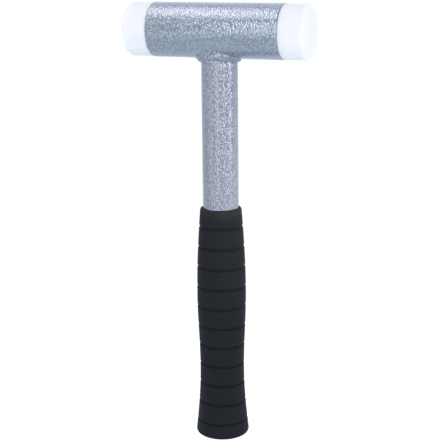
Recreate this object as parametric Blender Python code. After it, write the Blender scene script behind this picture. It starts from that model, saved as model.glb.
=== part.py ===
"""Recoilless soft-face hammer: a shot-filled steel head on a welded tube handle.

The hammer stands upright on its butt. +Z runs up the handle, the head lies along X, and the origin is
the centre of the flat butt of the grip. All lengths are in metres.
"""
import math

import bmesh
import bpy

# Head: a steel tube with a counterbored socket at each end
HEAD_AXIS_HEIGHT = 0.3120
HEAD_DIAMETER = 0.0400
HEAD_LENGTH = 0.1006
HEAD_WALL = 0.0030
HEAD_EDGE_CHAMFER = 0.0005
SOCKET_STEP = 0.0009

# Striking faces: nylon inserts whose spigots push into the sockets
FACE_LENGTH = 0.0188
FACE_CROWN = 0.0008
FACE_FLAT_DIAMETER = 0.0200
FACE_EDGE_RADIUS = 0.0016
FACE_UNDERSIZE = 0.0005
FACE_BACK_CHAMFER = 0.0006
SPIGOT_LENGTH = 0.0107
SPIGOT_LEAD = 0.0008

# Shot chamber: a disc behind each face, and the charge of shot between them
DISC_THICKNESS = 0.0030
DISC_CHAMFER = 0.0004
SHOT_TRAVEL = 0.0110
SHOT_LEVEL = 0.0070
SHOT_END_SLOPE = 0.0100
SHOT_END_DROP = 0.0085
SHOT_DIAMETER = 0.0046

# Handle: a steel tube, saddle-cut under the head and welded all round
HANDLE_DIAMETER = 0.0269
HANDLE_WALL = 0.0020
WELD_DROP_AT_SIDE = 0.0027
WELD_DROP_AT_FRONT = 0.0004
WELD_REACH_AT_SIDE = 0.0045
WELD_REACH_AT_FRONT = 0.0009
WELD_BULGE = 0.0007

# Grip: a rubber sleeve, thickest at the butt, with ring grooves
GRIP_LENGTH = 0.1810
GRIP_FLOOR = 0.0060
GRIP_WAIST_HEIGHT = 0.0540
BULGE_ABOVE_WAIST = 0.0600
GRIP_BUTT_WALL = 0.0070
GRIP_WAIST_WALL = 0.0032
GRIP_BULGE_WALL = 0.0049
GRIP_RIM_WALL = 0.0018
GRIP_RIM_ROUND = 0.0012
GRIP_BUTT_ROUND = 0.0028
LOWEST_GROOVE_HEIGHT = 0.0118
GROOVE_PITCH = 0.01548
GROOVE_WIDTH = 0.0019
GROOVE_FLOOR_WIDTH = 0.0009
GROOVE_DEPTH = 0.0009
GROOVE_END_MARGIN = 0.0100

# Clearance between pieces that seat on or slide in each other
CLEARANCE = 0.0003

# Facets around each kind of piece
HEAD_SEGMENTS = 64
HANDLE_SEGMENTS = 48
GRIP_SEGMENTS = 40
ROUND_STEPS = 3
LAND_STEPS = 2
BEAD_STEPS = 4
SHOT_STEPS_PER_BALL = 4
SHOT_BED_STEPS = 12

# Sizes that follow from the ones above
HEAD_RADIUS = HEAD_DIAMETER / 2
HEAD_HALF = HEAD_LENGTH / 2
BORE_RADIUS = HEAD_RADIUS - HEAD_WALL
SOCKET_RADIUS = BORE_RADIUS + SOCKET_STEP
SOCKET_DEPTH = DISC_THICKNESS + SPIGOT_LENGTH + CLEARANCE
SHOULDER = HEAD_HALF - SOCKET_DEPTH
DISC_INNER_FACE = SHOULDER + CLEARANCE
HANDLE_RADIUS = HANDLE_DIAMETER / 2
GRIP_BORE_RADIUS = HANDLE_RADIUS + CLEARANCE
SADDLE_RADIUS = HEAD_RADIUS + CLEARANCE


def make_material(name, colour, roughness, metallic):
    """Return a Principled material of one colour."""
    material = bpy.data.materials.new(name)
    material.use_nodes = True
    shader = material.node_tree.nodes["Principled BSDF"]
    shader.inputs["Base Color"].default_value = (*colour, 1.0)
    shader.inputs["Roughness"].default_value = roughness
    shader.inputs["Metallic"].default_value = metallic
    return material


def add_empty(name, location):
    """Return an empty that pieces can be parented to."""
    empty = bpy.data.objects.new(name, None)
    empty.location = location
    bpy.context.collection.objects.link(empty)
    return empty


def add_object(name, bm, material, parent):
    """Turn a finished bmesh into an object with its own material under its parent."""
    bmesh.ops.remove_doubles(bm, verts=bm.verts, dist=1e-7)
    bmesh.ops.recalc_face_normals(bm, faces=bm.faces)
    mesh = bpy.data.meshes.new(name)
    bm.to_mesh(mesh)
    bm.free()
    mesh.shade_smooth()
    mesh.set_sharp_from_angle(angle=math.radians(30))
    if material:
        mesh.materials.append(material)
    piece = bpy.data.objects.new(name, mesh)
    piece.parent = parent
    bpy.context.collection.objects.link(piece)
    return piece


def turn(outline, segments):
    """Spin an outline of (radius, height) points about Z; an open one starts and ends on the axis."""
    bm = bmesh.new()
    points = [bm.verts.new((radius, 0.0, height)) for radius, height in outline]
    edges = [bm.edges.new(pair) for pair in zip(points, points[1:])]
    if outline[0][0] > 0.0:
        edges.append(bm.edges.new((points[-1], points[0])))
    bmesh.ops.spin(
        bm,
        geom=points + edges,
        cent=(0.0, 0.0, 0.0),
        axis=(0.0, 0.0, 1.0),
        angle=math.tau,
        steps=segments,
        use_merge=True,
    )
    return bm


def arc(centre, radius, start, stop, steps):
    """Return points along an arc, with angles in degrees from the outward radius."""
    angles = [math.radians(start + (stop - start) * step / steps) for step in range(steps + 1)]
    return [
        (centre[0] + radius * math.cos(angle), centre[1] + radius * math.sin(angle))
        for angle in angles
    ]


def saddle_height(across):
    """Return the height of the head's underside, with clearance, at a distance across its axis."""
    return HEAD_AXIS_HEIGHT - math.sqrt(SADDLE_RADIUS**2 - across**2)


def make_head_tube(material, head_axis):
    """Head tube: through bore, a counterbored socket at each end and broken outer edges."""
    chamfer = HEAD_EDGE_CHAMFER
    outline = [
        (HEAD_RADIUS - chamfer, -HEAD_HALF),
        (HEAD_RADIUS, chamfer - HEAD_HALF),
        (HEAD_RADIUS, HEAD_HALF - chamfer),
        (HEAD_RADIUS - chamfer, HEAD_HALF),
        (SOCKET_RADIUS, HEAD_HALF),
        (SOCKET_RADIUS, SHOULDER),
        (BORE_RADIUS, SHOULDER),
        (BORE_RADIUS, -SHOULDER),
        (SOCKET_RADIUS, -SHOULDER),
        (SOCKET_RADIUS, -HEAD_HALF),
    ]
    tube = add_object("head_tube", turn(outline, HEAD_SEGMENTS), material, head_axis)
    tube.rotation_euler = (0.0, math.pi / 2, 0.0)


def make_chamber_disc(name, side, material, head_axis):
    """Disc that seats on the socket's shoulder and closes the shot chamber."""
    radius = SOCKET_RADIUS - CLEARANCE
    outline = [
        (0.0, 0.0),
        (radius - DISC_CHAMFER, 0.0),
        (radius, DISC_CHAMFER),
        (radius, DISC_THICKNESS - DISC_CHAMFER),
        (radius - DISC_CHAMFER, DISC_THICKNESS),
        (0.0, DISC_THICKNESS),
    ]
    disc = add_object(name, turn(outline, HEAD_SEGMENTS), material, head_axis)
    disc.location = (side * DISC_INNER_FACE, 0.0, 0.0)
    disc.rotation_euler = (0.0, side * math.pi / 2, 0.0)


def make_striking_face(name, side, material, head_axis):
    """Nylon insert: spigot with a lead, shoulder against the tube and a crowned striking end."""
    radius = HEAD_RADIUS - FACE_UNDERSIZE / 2
    spigot_radius = SOCKET_RADIUS - CLEARANCE
    spigot_tip = CLEARANCE - SPIGOT_LENGTH
    crown_run = radius - FACE_EDGE_RADIUS - FACE_FLAT_DIAMETER / 2
    crown_slope = math.degrees(math.atan2(FACE_CROWN, crown_run))
    rounded = arc(
        (radius - FACE_EDGE_RADIUS, FACE_LENGTH - FACE_EDGE_RADIUS),
        FACE_EDGE_RADIUS,
        0.0,
        90.0 - crown_slope,
        ROUND_STEPS,
    )
    outline = [
        (0.0, spigot_tip),
        (spigot_radius - SPIGOT_LEAD, spigot_tip),
        (spigot_radius, spigot_tip + SPIGOT_LEAD),
        (spigot_radius, CLEARANCE),
        (radius - FACE_BACK_CHAMFER, CLEARANCE),
        (radius, CLEARANCE + FACE_BACK_CHAMFER),
        *rounded,
        (FACE_FLAT_DIAMETER / 2, FACE_LENGTH + FACE_CROWN),
        (0.0, FACE_LENGTH + FACE_CROWN),
    ]
    face = add_object(name, turn(outline, HEAD_SEGMENTS), material, head_axis)
    face.location = (side * HEAD_HALF, 0.0, 0.0)
    face.rotation_euler = (0.0, side * math.pi / 2, 0.0)


def shot_top(along, across, half_length):
    """Return the height of the heap's top at one spot: level, falling at its ends, with ball bumps."""
    slope = max(0.0, abs(along) - half_length + SHOT_END_SLOPE) / SHOT_END_SLOPE
    # Balls in one layer lie in hexagonal packing, every other row shifted by a radius
    row_gap = SHOT_DIAMETER * math.sqrt(0.75)
    ball_radius = SHOT_DIAMETER / 2
    row = round(across / row_gap)
    shift = ball_radius * (row % 2)
    column = round((along - shift) / SHOT_DIAMETER)
    from_ball = math.hypot(along - shift - column * SHOT_DIAMETER, across - row * row_gap)
    bump = math.sqrt(max(0.0, ball_radius**2 - from_ball**2))
    return SHOT_LEVEL - SHOT_END_DROP * slope**2 + bump - ball_radius


def make_shot_charge(material, head_axis):
    """One heap that stands for the loose shot: it lies in the bore and slides between the discs."""
    bed_radius = BORE_RADIUS - CLEARANCE
    half_length = DISC_INNER_FACE - CLEARANCE - SHOT_TRAVEL
    half_width = math.sqrt(bed_radius**2 - SHOT_LEVEL**2)
    stations = round(2 * half_length / SHOT_DIAMETER * SHOT_STEPS_PER_BALL)
    columns = round(2 * half_width / SHOT_DIAMETER * SHOT_STEPS_PER_BALL)
    bm = bmesh.new()
    loops = []
    for station in range(stations + 1):
        along = half_length * (2 * station / stations - 1)
        loop = []
        for column in range(columns + 1):
            across = half_width * (2 * column / columns - 1)
            floor = -math.sqrt(bed_radius**2 - across**2)
            height = max(shot_top(along, across, half_length), floor + SHOT_DIAMETER / 2)
            loop.append((along, across, min(height, SHOT_LEVEL)))
        edge_angle = math.atan2(loop[-1][2], loop[-1][1])
        sweep = math.pi + 2 * edge_angle
        for step in range(1, SHOT_BED_STEPS):
            angle = edge_angle - sweep * step / SHOT_BED_STEPS
            loop.append((along, bed_radius * math.cos(angle), bed_radius * math.sin(angle)))
        loops.append([bm.verts.new(point) for point in loop])
    for near, far in zip(loops, loops[1:]):
        for index in range(len(near)):
            after = (index + 1) % len(near)
            bm.faces.new((near[index], far[index], far[after], near[after]))
    bm.faces.new(loops[0])
    bm.faces.new(reversed(loops[-1]))
    bmesh.ops.triangulate(bm, faces=bm.faces)
    add_object("shot_charge", bm, material, head_axis)


def make_handle_tube(material, head_axis):
    """Handle tube: open at the butt end and cut to a saddle that fits the underside of the head."""
    inner = HANDLE_RADIUS - HANDLE_WALL
    bottom = GRIP_FLOOR + CLEARANCE
    outline = [
        (HANDLE_RADIUS, bottom),
        (HANDLE_RADIUS, HEAD_AXIS_HEIGHT),
        (inner, HEAD_AXIS_HEIGHT),
        (inner, bottom),
    ]
    tube = add_object("handle_tube", turn(outline, HANDLE_SEGMENTS), material, None)

    # The cutter's flats lie on the saddle radius, so its corners are a little further out
    reach = SADDLE_RADIUS / math.cos(math.pi / HEAD_SEGMENTS)
    cutter_outline = [(0.0, -HEAD_HALF), (reach, -HEAD_HALF), (reach, HEAD_HALF), (0.0, HEAD_HALF)]
    cutter = add_object("saddle_cutter", turn(cutter_outline, HEAD_SEGMENTS), None, head_axis)
    cutter.rotation_euler = (0.0, math.pi / 2, 0.0)
    cutter.hide_render = True
    cutter.display_type = "WIRE"
    saddle = tube.modifiers.new("saddle", "BOOLEAN")
    saddle.operation = "DIFFERENCE"
    saddle.object = cutter


def make_weld_bead(material):
    """Fillet weld: a ring between handle and head, its section swept round the saddle joint."""
    inner = HANDLE_RADIUS + CLEARANCE
    bm = bmesh.new()
    sections = []
    for segment in range(HANDLE_SEGMENTS):
        angle = math.tau * segment / HANDLE_SEGMENTS
        side_share = math.cos(angle) ** 2
        front_share = 1.0 - side_share
        drop = WELD_DROP_AT_SIDE * side_share + WELD_DROP_AT_FRONT * front_share
        reach = WELD_REACH_AT_SIDE * side_share + WELD_REACH_AT_FRONT * front_share
        low = HEAD_AXIS_HEIGHT - HEAD_RADIUS - drop
        outer = inner + reach
        high = saddle_height(outer * math.sin(angle))
        length = math.hypot(outer - inner, high - low)
        section = [(inner, saddle_height(inner * math.sin(angle)))]
        for step in range(BEAD_STEPS + 1):
            share = step / BEAD_STEPS
            # A parabola that is nought at both toes of the bead and full in the middle
            swell = WELD_BULGE * 4 * share * (1 - share) / length
            radius = inner + reach * share + swell * (high - low)
            height = low + (high - low) * share - swell * reach
            section.append((radius, height))
        sections.append([
            bm.verts.new((radius * math.cos(angle), radius * math.sin(angle), height))
            for radius, height in section
        ])
    for index, near in enumerate(sections):
        far = sections[(index + 1) % len(sections)]
        for corner in range(len(near)):
            after = (corner + 1) % len(near)
            bm.faces.new((near[corner], far[corner], far[after], near[after]))
    add_object("weld_bead", bm, material, None)


def grip_radius(height):
    """Return the outer radius of the grip: flared butt, drawn-in waist, palm bulge and slim rim."""
    bulge_height = GRIP_WAIST_HEIGHT + BULGE_ABOVE_WAIST
    if height < GRIP_WAIST_HEIGHT:
        share = 1 - math.cos(math.pi / 2 * (1 - height / GRIP_WAIST_HEIGHT))
        wall = GRIP_WAIST_WALL + (GRIP_BUTT_WALL - GRIP_WAIST_WALL) * share
    elif height < bulge_height:
        share = (1 - math.cos(math.pi * (height - GRIP_WAIST_HEIGHT) / BULGE_ABOVE_WAIST)) / 2
        wall = GRIP_WAIST_WALL + (GRIP_BULGE_WALL - GRIP_WAIST_WALL) * share
    else:
        reach = (height - bulge_height) / (GRIP_LENGTH - bulge_height)
        share = 1 - math.cos(math.pi / 2 * reach)
        wall = GRIP_BULGE_WALL + (GRIP_RIM_WALL - GRIP_BULGE_WALL) * share
    return GRIP_BORE_RADIUS + wall


def make_rubber_grip(material):
    """Rubber sleeve: closed flat butt with a rounded edge, ring grooves and a rounded upper rim."""
    room = GRIP_LENGTH - GROOVE_END_MARGIN - LOWEST_GROOVE_HEIGHT
    groove_count = int(room / GROOVE_PITCH) + 1
    outline = [(0.0, 0.0)]
    butt_centre = (grip_radius(GRIP_BUTT_ROUND) - GRIP_BUTT_ROUND, GRIP_BUTT_ROUND)
    outline += arc(butt_centre, GRIP_BUTT_ROUND, -90.0, 0.0, ROUND_STEPS + 1)
    land_start = GRIP_BUTT_ROUND
    for groove in range(groove_count):
        middle = LOWEST_GROOVE_HEIGHT + groove * GROOVE_PITCH
        below = middle - GROOVE_WIDTH / 2
        above = middle + GROOVE_WIDTH / 2
        for step in range(1, LAND_STEPS + 1):
            height = land_start + (below - land_start) * step / LAND_STEPS
            outline.append((grip_radius(height), height))
        floor_radius = grip_radius(middle) - GROOVE_DEPTH
        outline.append((floor_radius, middle - GROOVE_FLOOR_WIDTH / 2))
        outline.append((floor_radius, middle + GROOVE_FLOOR_WIDTH / 2))
        outline.append((grip_radius(above), above))
        land_start = above
    rim_start = GRIP_LENGTH - GRIP_RIM_ROUND
    for step in range(1, LAND_STEPS):
        height = land_start + (rim_start - land_start) * step / LAND_STEPS
        outline.append((grip_radius(height), height))
    rim_centre = (grip_radius(rim_start) - GRIP_RIM_ROUND, rim_start)
    outline += arc(rim_centre, GRIP_RIM_ROUND, 0.0, 90.0, ROUND_STEPS)
    outline.append((GRIP_BORE_RADIUS, GRIP_LENGTH))
    outline.append((GRIP_BORE_RADIUS, GRIP_FLOOR))
    outline.append((0.0, GRIP_FLOOR))
    add_object("rubber_grip", turn(outline, GRIP_SEGMENTS), material, None)


for old in list(bpy.data.objects):
    bpy.data.objects.remove(old, do_unlink=True)

paint = make_material("hammertone_paint", (0.30, 0.34, 0.44), 0.35, 0.4)
weld_paint = make_material("painted_weld", (0.26, 0.30, 0.40), 0.40, 0.4)
handle_paint = make_material("handle_paint", (0.31, 0.34, 0.45), 0.35, 0.4)
rubber = make_material("black_rubber", (0.022, 0.024, 0.028), 0.75, 0.0)
nylon = make_material("white_nylon", (0.88, 0.92, 0.97), 0.40, 0.0)
disc_steel = make_material("disc_steel", (0.55, 0.55, 0.56), 0.35, 1.0)
shot_steel = make_material("shot_steel", (0.50, 0.50, 0.52), 0.30, 1.0)

head_axis = add_empty("head_axis", (0.0, 0.0, HEAD_AXIS_HEIGHT))
make_head_tube(paint, head_axis)
make_handle_tube(handle_paint, head_axis)
make_weld_bead(weld_paint)
make_rubber_grip(rubber)
make_shot_charge(shot_steel, head_axis)
for side_name, side in (("left", -1), ("right", 1)):
    make_chamber_disc(side_name + "_chamber_disc", side, disc_steel, head_axis)
    make_striking_face(side_name + "_striking_face", side, nylon, head_axis)
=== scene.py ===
"""Looks of a recoilless soft-face hammer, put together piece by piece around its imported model.

Sizes are in metres."""
import math

import bmesh
import bpy
from mathutils import Matrix, Vector


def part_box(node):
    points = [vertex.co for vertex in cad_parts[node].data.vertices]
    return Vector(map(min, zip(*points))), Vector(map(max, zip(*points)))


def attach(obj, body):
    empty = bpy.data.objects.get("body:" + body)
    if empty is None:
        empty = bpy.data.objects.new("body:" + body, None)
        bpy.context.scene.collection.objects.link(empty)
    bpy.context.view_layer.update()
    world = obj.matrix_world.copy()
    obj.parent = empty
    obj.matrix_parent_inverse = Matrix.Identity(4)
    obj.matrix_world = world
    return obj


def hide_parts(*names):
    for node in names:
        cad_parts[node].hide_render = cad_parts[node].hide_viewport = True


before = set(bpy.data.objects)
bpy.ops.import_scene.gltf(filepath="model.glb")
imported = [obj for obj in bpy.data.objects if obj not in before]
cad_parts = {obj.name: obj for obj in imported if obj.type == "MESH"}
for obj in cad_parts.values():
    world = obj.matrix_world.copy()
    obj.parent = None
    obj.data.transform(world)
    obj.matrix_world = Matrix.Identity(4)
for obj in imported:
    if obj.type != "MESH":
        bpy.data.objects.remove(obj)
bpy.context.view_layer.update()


# Head tube: the housing of the head, a length of thick steel tube that holds the shot.
# Both ends are bored out for the striking faces, and their edges are broken with a small round.
# Outside it is sprayed with blue-grey hammertone, which dries into small pebbles; the bores stay bare.
head_low, head_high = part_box("head_tube")
head_axis = (head_low + head_high) / 2
head_radius = (head_high.z - head_low.z) / 2
head_end = head_high.x
disc_low, disc_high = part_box("right_chamber_disc")
clearance = 0.0003
socket_radius = (disc_high.z - disc_low.z) / 2 + clearance
socket_floor = disc_low.x - clearance
chamber_wall = 0.003
bore_radius = head_radius - chamber_wall
rim_round = 0.0004
rim_support = 0.0016
head_steps = 144
head_pale = (0.262, 0.309, 0.393, 1)
head_deep = (0.174, 0.208, 0.268, 1)
bore_pale = (0.62, 0.61, 0.60, 1)
bore_deep = (0.38, 0.38, 0.39, 1)
bore_grain = (5000, 60, 60)
hair = 0.00001  # places closer than this count as one
sharp_bend = math.radians(20)  # a bend past this counts as an edge


def turned(points, centre, axis, steps):
    """Spin a closed outline of points one full turn about an axis and return the closed form."""
    form = bmesh.new()
    corners = [form.verts.new(point) for point in points]
    for corner, following in zip(corners, corners[1:] + corners[:1]):
        form.edges.new((corner, following))
    bmesh.ops.spin(form, geom=form.verts[:] + form.edges[:], cent=centre, axis=axis,
                   angle=math.tau, steps=steps, use_merge=True)
    bmesh.ops.remove_doubles(form, verts=form.verts, dist=hair)
    loose = [edge for edge in form.edges if not edge.link_faces]
    bmesh.ops.delete(form, geom=loose, context="EDGES")
    bmesh.ops.recalc_face_normals(form, faces=form.faces)
    return form


def turned_on_head(outline, steps):
    """Turn an outline, given as places along the head and radii, about the head's axis."""
    return turned([(x, 0, head_axis.z + radius) for x, radius in outline], head_axis, (1, 0, 0), steps)


def rounded(form, radius, segments, chosen):
    """Round the sharp edges whose middle point is chosen, and leave the others as they are."""
    sharp = []
    for edge in form.edges:
        middle = (edge.verts[0].co + edge.verts[1].co) / 2
        if edge.calc_face_angle(0) > sharp_bend and chosen(middle):
            sharp.append(edge)
    bmesh.ops.bevel(form, geom=sharp, offset=radius, offset_type="OFFSET", affect="EDGES",
                    segments=segments, profile=0.5, material=-1, clamp_overlap=True)


half_outline = [(head_end - rim_support, head_radius), (head_end, head_radius),
                (head_end, socket_radius), (socket_floor, socket_radius), (socket_floor, bore_radius)]
other_half = [(-x, radius) for x, radius in reversed(half_outline)]
head_form = turned_on_head(half_outline + other_half, head_steps)
rounded(head_form, rim_round, segments=4, chosen=lambda middle: abs(middle.x) > head_end - hair)
painted_from = socket_radius + rim_round / 2
for wall in head_form.faces:
    middle = wall.calc_center_median() - head_axis
    wall.material_index = int(math.hypot(middle.y, middle.z) < painted_from)


class Wire:
    """One output socket of a material's nodes; arithmetic on it adds Math nodes."""

    def __init__(self, socket):
        self.socket = socket
        self.tree = socket.id_data

    def node(self, kind, settings, sockets, output=0):
        """Add any node: its settings are set first, then the values or links of its sockets."""
        node = self.tree.nodes.new(kind)
        for name, value in settings.items():
            setattr(node, name, value)
        plug(node, sockets)
        return Wire(node.outputs[output])

    def math(self, operation, first, second):
        return self.node("ShaderNodeMath", {"operation": operation}, {0: first, 1: second})

    def __add__(self, other):
        return self.math("ADD", self, other)

    def __radd__(self, other):
        return self.math("ADD", other, self)

    def __sub__(self, other):
        return self.math("SUBTRACT", self, other)

    def __rsub__(self, other):
        return self.math("SUBTRACT", other, self)

    def __mul__(self, other):
        return self.math("MULTIPLY", self, other)

    def __rmul__(self, other):
        return self.math("MULTIPLY", other, self)

    def between(self, low, high):
        """Rise smoothly from 0 where the value is low to 1 where it is high."""
        return self.node("ShaderNodeMapRange", {"interpolation_type": "SMOOTHSTEP"},
                         {"Value": self, "From Min": low, "From Max": high})

    def tint(self, first, second):
        """Go from the first colour where the value is 0 to the second where it is 1."""
        return self.node("ShaderNodeMix", {"data_type": "RGBA"}, {0: self, 6: first, 7: second}, 2)

    def noise(self, scale, detail, output=0):
        """Cloudy noise at this place, as a value, or as a colour where output is 1."""
        return self.node("ShaderNodeTexNoise", {},
                         {"Vector": self, "Scale": scale, "Detail": detail}, output)

    def bump(self, strength, distance):
        """A surface that this value raises by up to a distance."""
        return self.node("ShaderNodeBump", {},
                         {"Strength": strength, "Distance": distance, "Height": self})


def plug(node, sockets):
    """Set the values of a node's sockets, and link the ones that are given a wire."""
    for name, value in sockets.items():
        if isinstance(value, Wire):
            node.id_data.links.new(value.socket, node.inputs[name])
        else:
            node.inputs[name].default_value = value


def new_finish(name):
    """Start a material; return it with its shader and the place on the object as a wire."""
    material = bpy.data.materials.new(name)
    material.use_nodes = True
    shader = material.node_tree.nodes["Principled BSDF"]
    coordinates = material.node_tree.nodes.new("ShaderNodeTexCoord")
    return material, shader, Wire(coordinates.outputs["Object"])


def hammertone(name, pale, deep):
    """Hammertone paint: a flake-filled gloss skin that has dried into small wormy pebbles."""
    pebble_stretch = (1.25, 1.25, 0.8)
    pebble_pull = (0.0016, 0.0016, 0.0016)
    pebble_scale = 680
    pebble_height = 0.0002
    material, shader, place = new_finish(name)
    sagged = place.node("ShaderNodeVectorMath", {"operation": "MULTIPLY"}, {0: place, 1: pebble_stretch})
    drift = sagged.noise(scale=420, detail=1, output=1)
    pulled = place.node("ShaderNodeVectorMath", {"operation": "MULTIPLY_ADD"},
                        {0: drift, 1: pebble_pull, 2: sagged})
    cells = place.node("ShaderNodeTexVoronoi", {"feature": "SMOOTH_F1"},
                       {"Vector": pulled, "Scale": pebble_scale, "Smoothness": 0.5})
    cloud = place.noise(scale=60, detail=2)
    pebble = 1 - cells
    colour = (0.9 * pebble.between(0.35, 0.7) + 0.1 * cloud).tint(deep, pale)
    plug(shader, {"Base Color": colour, "Metallic": 0.5, "Roughness": 0.13 + 0.04 * cloud,
                  "Normal": pebble.bump(1.0, pebble_height)})
    return material


def bare_steel(name, pale, deep, grain):
    """Machined steel: fine tool marks that follow the given stretch of the pattern."""
    mark_height = 0.00002
    material, shader, place = new_finish(name)
    stretched = place.node("ShaderNodeVectorMath", {"operation": "MULTIPLY"}, {0: place, 1: grain})
    marks = stretched.noise(scale=1, detail=3)
    cloud = place.noise(scale=90, detail=2)
    plug(shader, {"Base Color": (0.7 * marks + 0.3 * cloud).tint(deep, pale), "Metallic": 1.0,
                  "Roughness": 0.26 + 0.2 * cloud, "Normal": marks.bump(0.6, mark_height)})
    return material


def fitted(form, name, body, slot, nodes, *materials):
    """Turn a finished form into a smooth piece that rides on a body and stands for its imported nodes."""
    mesh = bpy.data.meshes.new(name)
    form.to_mesh(mesh)
    form.free()
    mesh.shade_smooth()
    for material in materials:
        mesh.materials.append(material)
    piece = bpy.data.objects.new(name, mesh)
    bpy.context.scene.collection.objects.link(piece)
    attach(piece, body)
    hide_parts(*nodes)


head_paint = hammertone("hammertone_paint", head_pale, head_deep)
bore_steel = bare_steel("bored_steel", bore_pale, bore_deep, bore_grain)
fitted(head_form, "head_housing", "hammer", "head_paint", ["head_tube"], head_paint, bore_steel)


# Handle tube: a plain round steel tube that runs from the grip's floor up to the head.
# Its top end is cut to a saddle that fits the housing.
# It carries the head's paint in a darker, greyer copy, which is painted shade on the handle.
handle_low, handle_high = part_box("handle_tube")
handle_radius = (handle_high.x - handle_low.x) / 2
handle_wall = 0.002
handle_bore = handle_radius - handle_wall
handle_support = 0.001
handle_steps = 128
saddle_radius = head_radius + clearance
saddle_low = head_axis.z - saddle_radius
# Painted shade: the head's paint made darker and greyer for the handle.
handle_shaded_pale = (0.255, 0.284, 0.359, 1)
handle_shaded_deep = (0.173, 0.195, 0.247, 1)


def turned_on_handle(outline, steps):
    """Turn an outline, given as radii and heights, about the handle's axis."""
    return turned([(radius, 0, height) for radius, height in outline], (0, 0, 0), (0, 0, 1), steps)


handle_heights = [handle_low.z, handle_low.z + handle_support, saddle_low - handle_support, handle_high.z]
handle_outline = [(handle_radius, height) for height in handle_heights]
handle_outline += [(handle_bore, height) for height in reversed(handle_heights)]
handle_form = turned_on_handle(handle_outline, handle_steps)
for corner in handle_form.verts:
    if corner.co.z > saddle_low:
        corner.co.z = head_axis.z - math.sqrt(saddle_radius ** 2 - corner.co.y ** 2)
handle_paint = hammertone("handle_shaded_hammertone", handle_shaded_pale, handle_shaded_deep)
fitted(handle_form, "handle_stem", "hammer", "handle_paint", ["handle_tube"], handle_paint)


# Weld bead: the fillet of weld metal that joins the handle to the housing all the way round.
# Laid by hand, it is a little lumpy, with a rounded lip on the handle and a longer toe at the left.
# The paint goes over it, in a darker copy of the head's paint, which is painted shade under the head.
weld_bite = 0.0002
weld_inside = handle_radius - weld_bite
weld_roof = head_radius - weld_bite
weld_side_drop = 0.0036
weld_front_drop = 0.0004
weld_side_reach = 0.0060
weld_front_reach = 0.0014
weld_right_short = 0.0022
weld_roll = 0.0006
weld_roll_start = 0.12
weld_lip = 0.0020
weld_lean = 0.0002
weld_lump = 0.00015
weld_lump_count = 5
weld_lump_start = 0.6
weld_ripple = 0.00008
weld_ripple_count = 31
weld_steps = 14
weld_crowding = 1.6
weld_segments = 192
# Painted shade: the head's paint made darker for the bead.
weld_shaded_pale = (0.234, 0.276, 0.351, 1)
weld_shaded_deep = (0.152, 0.182, 0.235, 1)


def weld_point(turn, share):
    """A point of the bead's skin, from its lower toe on the handle to its upper toe on the housing."""
    side = math.cos(turn) ** 2
    short = weld_right_short * max(0, math.cos(turn)) * side
    drop = weld_front_drop + (weld_side_drop - weld_front_drop) * side - short / 2
    low = head_axis.z - head_radius - drop
    reach = weld_front_reach + (weld_side_reach - weld_front_reach) * side - short
    radius = weld_inside + reach * share
    high = head_axis.z - math.sqrt(weld_roof ** 2 - (radius * math.sin(turn)) ** 2)
    lumps = (weld_lean * math.cos(turn) + weld_lump * math.sin(weld_lump_count * turn + weld_lump_start)
             + weld_ripple * math.sin(weld_ripple_count * turn))
    roll = weld_roll * math.sin(math.pi * min(1, weld_roll_start + share)) ** 2 * (1 - share)
    swell = 4 * share * (1 - share) * lumps + roll
    radius += swell + weld_lip * (1 - side) * math.sqrt(share) * (1 - share)
    return Vector((radius * math.cos(turn), radius * math.sin(turn), low + (high - low) * share - swell))


weld_form = bmesh.new()
bmesh.ops.create_circle(weld_form, segments=weld_segments, radius=weld_inside)
weld_loops = [weld_form.edges[:]]
for step in range(weld_steps + 1):
    made = bmesh.ops.extrude_edge_only(weld_form, edges=weld_loops[-1])["geom"]
    weld_loops.append([item for item in made if isinstance(item, bmesh.types.BMEdge)])
for step, loop in enumerate(weld_loops):
    for corner in {corner for edge in loop for corner in edge.verts}:
        turn = math.atan2(corner.co.y, corner.co.x)
        if step:
            corner.co = weld_point(turn, ((step - 1) / weld_steps) ** weld_crowding)
        else:
            corner.co.z = head_axis.z - math.sqrt(weld_roof ** 2 - corner.co.y ** 2)
bmesh.ops.bridge_loops(weld_form, edges=weld_loops[0] + weld_loops[-1])
bmesh.ops.recalc_face_normals(weld_form, faces=weld_form.faces)
weld_paint = hammertone("weld_shaded_hammertone", weld_shaded_pale, weld_shaded_deep)
fitted(weld_form, "weld_fillet", "hammer", "weld_paint", ["weld_bead"], weld_paint)


# Rubber grip: a black moulded rubber sleeve pushed over the lower half of the handle, closed at the butt.
# It swells under the palm, flares at the butt, and has ring grooves at an even spacing.
# Its upper rim is rounded, and a paler band painted near its top is a painted sheen.
grip_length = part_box("rubber_grip")[1].z
grip_bore = handle_radius + clearance
grip_floor = handle_low.z - clearance
grip_steps = 144
waist_height = 0.054
bulge_height = 0.114
butt_wall = 0.00698
waist_wall = 0.0032
bulge_wall = 0.0049
rim_wall = 0.0018
butt_border = 0.006
butt_round = 0.0028
butt_top = 0.0034
land_steps = 6
groove_lowest = 0.0118
groove_pitch = 0.01548
groove_count = 11
groove_width = 0.0024
groove_floor_width = 0.0008
groove_depth = 0.0014
groove_round = 0.0003
grip_rim_height = 0.0028
grip_rim_steps = 8
grip_lip = grip_bore + 0.0002
rubber_deep = (0.0068, 0.0079, 0.0107, 1)
rubber_pale = (0.0130, 0.0148, 0.0196, 1)
# Painted sheen: the paler colour of the band just under the rim, where light catches it.
rubber_sheen = (0.0200, 0.0197, 0.0226, 1)
sheen_start = grip_length - 0.0085
sheen_full = grip_length - 0.0025


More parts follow.
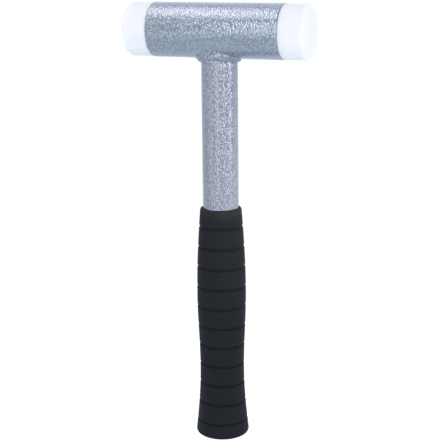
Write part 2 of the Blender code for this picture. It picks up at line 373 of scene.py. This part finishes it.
def grip_radius(height):
    """Outside radius of the sleeve between its grooves."""
    if height < waist_height:
        share = 1 - height / waist_height
        wall = waist_wall + (butt_wall - waist_wall) * (1 - math.cos(math.pi / 2 * share))
    elif height < bulge_height:
        share = (height - waist_height) / (bulge_height - waist_height)
        wall = waist_wall + (bulge_wall - waist_wall) * (1 - math.cos(math.pi * share)) / 2
    else:
        share = (height - bulge_height) / (grip_length - bulge_height)
        wall = bulge_wall + (rim_wall - bulge_wall) * (1 - math.cos(math.pi / 2 * share))
    return grip_bore + wall


def on_a_groove(middle):
    """Whether a point lies on the outside of the sleeve, where its grooves are."""
    outside = math.hypot(middle.x, middle.y) > grip_bore + clearance
    return outside and groove_lowest - groove_width < middle.z < grip_length - grip_rim_height


grip_outline = [(0, 0), (grip_radius(0) - butt_border, 0), (grip_radius(0), 0)]
land_start = butt_top
for ring in range(groove_count + 1):
    groove_middle = groove_lowest + ring * groove_pitch
    land_end = groove_middle - groove_width / 2 if ring < groove_count else grip_length - grip_rim_height
    for step in range(land_steps + 1):
        height = land_start + (land_end - land_start) * step / land_steps
        grip_outline.append((grip_radius(height), height))
    if ring < groove_count:
        floor_radius = grip_radius(groove_middle) - groove_depth
        grip_outline.append((floor_radius, groove_middle - groove_floor_width / 2))
        grip_outline.append((floor_radius, groove_middle + groove_floor_width / 2))
        land_start = groove_middle + groove_width / 2
shoulder = grip_radius(grip_length - grip_rim_height)
for step in range(1, grip_rim_steps + 1):
    turn = math.pi / 2 * step / grip_rim_steps
    grip_outline.append((grip_lip + (shoulder - grip_lip) * math.cos(turn),
                         grip_length - grip_rim_height * (1 - math.sin(turn))))
grip_outline += [(grip_bore, grip_length), (grip_bore, grip_floor), (0, grip_floor)]
grip_form = turned_on_handle(grip_outline, grip_steps)
rounded(grip_form, butt_round, segments=8, chosen=lambda middle: middle.z < hair)
rounded(grip_form, groove_round, segments=3, chosen=on_a_groove)

rubber, shader, place = new_finish("moulded_rubber")
fine = place.noise(scale=2600, detail=2)
cloud = place.noise(scale=45, detail=3)
upward = place.node("ShaderNodeSeparateXYZ", {}, {0: place}, 2)
black = (0.6 * cloud + 0.4 * fine).tint(rubber_deep, rubber_pale)
# Painted sheen: the top of the sleeve fades into the paler colour, patchy with the cloud.
painted_sheen = upward.between(sheen_start, sheen_full) * (0.4 + 0.6 * cloud)
plug(shader, {"Base Color": painted_sheen.tint(black, rubber_sheen), "Roughness": 0.55 + 0.2 * cloud,
              "Specular IOR Level": 0.06, "Normal": fine.bump(0.5, 0.00004)})
fitted(grip_form, "grip_sleeve", "hammer", "grip_rubber", ["rubber_grip"], rubber)


# Chamber discs: a turned steel disc behind each striking face, pressed against the step in its bore.
# They close the chamber that the shot slides in.
disc_round = 0.0004
disc_steps = 96
disc_pale = (0.66, 0.66, 0.66, 1)
disc_deep = (0.42, 0.42, 0.43, 1)
disc_grain = (120, 1800, 1800)

disc_steel = bare_steel("turned_steel", disc_pale, disc_deep, disc_grain)
for side in ("left", "right"):
    low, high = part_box(side + "_chamber_disc")
    edge_radius = (high.z - low.z) / 2
    disc_outline = [(low.x, 0), (low.x, edge_radius), (high.x, edge_radius), (high.x, 0)]
    disc_form = turned_on_head(disc_outline, disc_steps)
    rounded(disc_form, disc_round, segments=2, chosen=lambda middle: True)
    fitted(disc_form, side + "_chamber_plate", "hammer", "disc_steel",
           [side + "_chamber_disc"], disc_steel)


# Shot: a few hundred loose steel balls, which fill most of the chamber and slide behind each blow.
# They lie level with slumped ends, packed as balls settle.
shot_low, shot_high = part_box("shot_charge")
bed_radius = head_axis.z - shot_low.z
ball_radius = 0.0023
layer_rise = ball_radius * 2 * math.sqrt(2 / 3)
row_step = ball_radius * math.sqrt(3)
end_slope = 0.010
end_drop = 0.0085
shot_pale = (0.68, 0.68, 0.70, 1)
shot_deep = (0.40, 0.40, 0.42, 1)

ball_form = bmesh.new()
bmesh.ops.create_uvsphere(ball_form, u_segments=8, v_segments=6, radius=ball_radius)
ball = bpy.data.meshes.new("ball")
ball_form.to_mesh(ball)
ball_form.free()

shot_form = bmesh.new()
layers = int((shot_high.z - shot_low.z) / layer_rise) + 1
rows = int(bed_radius / row_step) + 2
places = int((shot_high.x - shot_low.x) / ball_radius / 2) + 2
for layer in range(layers):
    for row in range(-rows, rows + 1):
        for number in range(-places, places + 1):
            x = (2 * number + (row + layer) % 2) * ball_radius
            y = row * row_step + (layer % 2) * row_step / 3 * 2
            z = shot_low.z + ball_radius + layer * layer_rise
            off_axis = math.hypot(y, z - head_axis.z)
            slump = max(0, abs(x) + ball_radius - (shot_high.x - end_slope)) / end_slope
            if slump > 1 or off_axis + ball_radius > bed_radius:
                continue
            if z + ball_radius > shot_high.z - end_drop * slump:
                continue
            spot = Vector((x, y, z))
            ball.transform(Matrix.Translation(spot))
            shot_form.from_mesh(ball)
            ball.transform(Matrix.Translation(-spot))
bpy.data.meshes.remove(ball)

shot_steel, shader, place = new_finish("bright_shot")
cloud = place.noise(scale=240, detail=2)
pits = place.noise(scale=1500, detail=2)
plug(shader, {"Base Color": cloud.tint(shot_deep, shot_pale), "Metallic": 1.0,
              "Roughness": 0.2 + 0.25 * pits, "Normal": pits.bump(0.4, 0.00003)})
fitted(shot_form, "steel_shot", "shot", "shot_steel", ["shot_charge"], shot_steel)


# Striking faces: white nylon inserts, turned from bar and pushed into the bores by their spigots.
# Each is slightly smaller than the housing, slightly crowned, and rounded at its striking edge.
spigot_radius = socket_radius - clearance
spigot_end = disc_high.x + clearance
face_seat = head_end + 0.00005
seat_round = 0.0003
seat_support = 0.003
face_flat = 0.010
face_crown = 0.0008
face_round = 0.0024
face_support = 0.004
face_steps = 144
nylon_deep = (0.600, 0.634, 0.683, 1)
nylon_pale = (0.619, 0.652, 0.701, 1)


def on_the_seat(middle):
    """Whether a point lies on an insert's shoulder, outside its spigot."""
    off_axis = math.hypot(middle.y, middle.z - head_axis.z)
    return abs(abs(middle.x) - face_seat) < hair and off_axis > spigot_radius + clearance


nylon, shader, place = new_finish("white_nylon")
cloud = place.noise(scale=70, detail=3)
fine = place.noise(scale=1800, detail=2)
plug(shader, {"Base Color": cloud.tint(nylon_deep, nylon_pale), "Roughness": 0.38 + 0.12 * cloud,
              "Specular IOR Level": 0.12, "Normal": fine.bump(0.3, 0.00003),
              "Subsurface Weight": 0.45, "Subsurface Radius": (1, 1, 1), "Subsurface Scale": 0.011})
for side, sign in (("left", -1), ("right", 1)):
    low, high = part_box(side + "_striking_face")
    face_radius = (high.z - low.z) / 2
    tip = max(abs(low.x), abs(high.x))
    face_edge = tip - face_crown
    face_outline = [(tip, 0), (tip, face_flat), (face_edge, face_radius),
                    (tip - face_support, face_radius), (face_seat + seat_support, face_radius),
                    (face_seat, face_radius), (face_seat, spigot_radius),
                    (spigot_end, spigot_radius), (spigot_end, 0)]
    face_form = turned_on_head([(sign * x, radius) for x, radius in face_outline], face_steps)
    rounded(face_form, face_round, segments=6, chosen=lambda middle: abs(middle.x) > face_edge - hair)
    rounded(face_form, seat_round, segments=3, chosen=on_the_seat)
    fitted(face_form, side + "_nylon_face", side + "_face", "face_nylon",
           [side + "_striking_face"], nylon)


# Floor, lights and camera: a white floor that glows bluer near the hammer and brighter to its right.
# Soft boxes hang overhead and in front of the head, tall strips and a dim card stand at the right, and a
# small box lights the grip's rim; a long lens looks from a little above the head and to its right.
floor_radius = 14
floor_gap = 0.0004
near_left_glow = (1.0, 1.11, 1.2, 1)
near_right_glow = (1.16, 1.24, 1.30, 1)
far_left_glow = (1.0, 1.03, 1.06, 1)
far_right_glow = (1.19, 1.205, 1.255, 1)

floor_form = bmesh.new()
bmesh.ops.create_circle(floor_form, cap_ends=True, segments=64, radius=floor_radius,
                        matrix=Matrix.Translation((0, 0, -floor_gap)))
floor_mesh = bpy.data.meshes.new("floor")
floor_form.to_mesh(floor_mesh)
floor_form.free()
floor = bpy.data.objects.new("floor", floor_mesh)
bpy.context.scene.collection.objects.link(floor)
floor_paint, shader, place = new_finish("white_sweep")
rightward = place.node("ShaderNodeSeparateXYZ", {}, {0: place})
outward = place.node("ShaderNodeVectorMath", {"operation": "LENGTH"}, {0: place}, 1)
near_glow = rightward.between(-0.15, 0.05).tint(near_left_glow, near_right_glow)
far_glow = rightward.between(-0.1, 0.8).tint(far_left_glow, far_right_glow)
plug(shader, {"Base Color": (0, 0, 0, 1), "Roughness": 1.0, "Specular IOR Level": 0.0,
              "Emission Color": outward.between(0.22, 0.5).tint(near_glow, far_glow),
              "Emission Strength": 1.0})
floor_mesh.materials.append(floor_paint)

brightest_way = (0.1, 0.9, 0.55)
dim_wall = (1.02, 1.0, 1.01, 1)
bright_wall = (1.28, 1.33, 1.42, 1)
studio = bpy.data.worlds.new("studio")
studio.use_nodes = True
backdrop = studio.node_tree.nodes["Background"]
direction = Wire(studio.node_tree.nodes.new("ShaderNodeTexCoord").outputs["Generated"])
glow = direction.node("ShaderNodeVectorMath", {"operation": "DOT_PRODUCT"},
                      {0: direction, 1: brightest_way}, 1)
plug(backdrop, {"Color": glow.between(0.2, 0.9).tint(dim_wall, bright_wall), "Strength": 1.0})
bpy.context.scene.world = studio
bpy.context.scene.view_settings.view_transform = "Standard"

lamp_colour = (1.0, 0.95, 0.9)
overhead_colour = (1.0, 0.92, 0.80)
upright = Vector((0, 0, 1))
backward = Vector((0, 1, 0))


def soft_box(name, target, azimuth, elevation, distance, width, height, radiance, up=upright):
    """Hang a soft box that faces a target, so many degrees round to its right and up from the front.

    Its power follows from how bright its panel looks."""
    turn = math.radians(azimuth)
    rise = math.radians(elevation)
    way = Vector((math.sin(turn) * math.cos(rise), -math.cos(turn) * math.cos(rise), math.sin(rise)))
    across = up.cross(way).normalized()
    facing = Matrix((across, way.cross(across), way)).transposed().to_4x4()
    light = bpy.data.lights.new(name, "AREA")
    light.shape = "RECTANGLE"
    light.size = width
    light.size_y = height
    light.energy = radiance * math.pi * width * height
    light.color = lamp_colour
    lamp = bpy.data.objects.new(name, light)
    lamp.matrix_world = Matrix.Translation(target + distance * way) @ facing
    lamp.visible_camera = False
    bpy.context.scene.collection.objects.link(lamp)
    return lamp


head_centre = Vector((0, 0, 0.31))
overhead = soft_box("overhead_box", head_centre, azimuth=-66, elevation=65, distance=1.1,
                    width=0.3, height=0.9, radiance=4.4, up=backward)
overhead.data.color = overhead_colour
overhead.visible_diffuse = False

front_boxes = ((-58, 4, 1.7), (-40, 28, 1.85), (-39, -14, 1.6), (-4, 30, 2.8), (0, -14, 2.2))
for number, (azimuth, elevation, radiance) in enumerate(front_boxes):
    soft_box(f"front_box_{number}", head_centre, azimuth, elevation, distance=0.8,
             width=0.18, height=0.18, radiance=radiance)

near_end = Vector((0.045, -0.02, 0.315))
soft_box("near_box", near_end, azimuth=-17, elevation=16, distance=0.3,
         width=0.045, height=0.28, radiance=4.9)

strip_boxes = ((15, 0.31, 0.04, 7.2), (47, 0.31, 0.045, 11.2),
               (87, 0.25, 0.06, 9.8), (123, 0.22, 0.3, 0.35))
for number, (azimuth, middle_height, width, radiance) in enumerate(strip_boxes):
    soft_box(f"strip_box_{number}", Vector((0, 0, middle_height)), azimuth, elevation=0, distance=0.75,
             width=width, height=0.42, radiance=radiance)

grip_top = Vector((0, 0, 0.172))
grip_box = soft_box("grip_box", grip_top, azimuth=58, elevation=22, distance=0.3,
                    width=0.06, height=0.06, radiance=2.0)
grip_box.data.spread = math.radians(36)
grip_box.visible_glossy = False

eye = Vector((0.2989, -0.7526, 0.3723))
look_at = Vector((-0.00078, 0, 0.17067))
roll = math.radians(-0.55)
lens = bpy.data.cameras.new("camera")
lens.sensor_width = 36
lens.lens = 90.6
lens.clip_end = 100
camera = bpy.data.objects.new("camera", lens)
aim = (eye - look_at).to_track_quat("Z", "Y").to_matrix().to_4x4()
camera.matrix_world = Matrix.Translation(eye) @ aim @ Matrix.Rotation(roll, 4, "Z")
bpy.context.scene.collection.objects.link(camera)
bpy.context.scene.camera = camera
